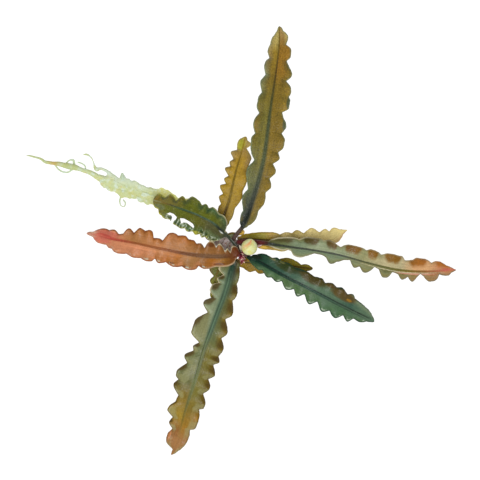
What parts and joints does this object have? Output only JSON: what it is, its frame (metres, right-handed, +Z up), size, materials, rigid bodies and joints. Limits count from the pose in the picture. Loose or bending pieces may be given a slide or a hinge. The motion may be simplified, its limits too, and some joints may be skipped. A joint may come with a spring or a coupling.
{
  "type": "bucephalandra plant",
  "caption": "Small rosette water plant lying bare-rooted, with long ruffled leaves fanning from a creeping rhizome, a closed flower bud and trailing roots.",
  "frame": {"origin": "on the surface the plant lies on, at the flat underside of the rhizome below the crown", "axes": "+Z up off the surface, -X towards the roots, +Y along the long upper leaf"},
  "size_m": [0.1441, 0.1434, 0.0171],
  "materials": {
    "leaf_olive": "satin living leaf, olive and brown",
    "leaf_dark": "satin living leaf, dark green",
    "leaf_copper": "satin living leaf, copper and pink",
    "leaf_tan": "satin living leaf, golden and tan",
    "rhizome": "moist, ringed with leaf scars",
    "root": "moist, pale and slightly translucent",
    "bud": "smooth closed spathe",
    "sheath": "thin pale pink scale"
  },
  "bodies": {
    "root": {"rhizome": "rhizome", "leaf_top_long": "leaf_olive", "leaf_top_small": "leaf_tan", "leaf_curled_dark": "leaf_dark", "leaf_left_copper": "leaf_copper", "leaf_bottom_long": "leaf_olive", "leaf_right_dark": "leaf_dark", "leaf_right_long": "leaf_olive", "leaf_right_tan": "leaf_tan", "leaf_right_small": "leaf_olive", "leaf_bottom_small": "leaf_tan", "leaf_young": "leaf_tan", "flower_stalk": "sheath", "flower_bud": "bud", "sheath_left": "sheath", "sheath_right": "sheath", "sheath_lower": "sheath", "root_long": "root", "root_upper": "root", "root_lower": "root", "root_flap": "root", "root_hanging": "root", "root_arc_low": "root", "root_arc_high": "root", "root_curl": "root"}
  },
  "joints": []
}
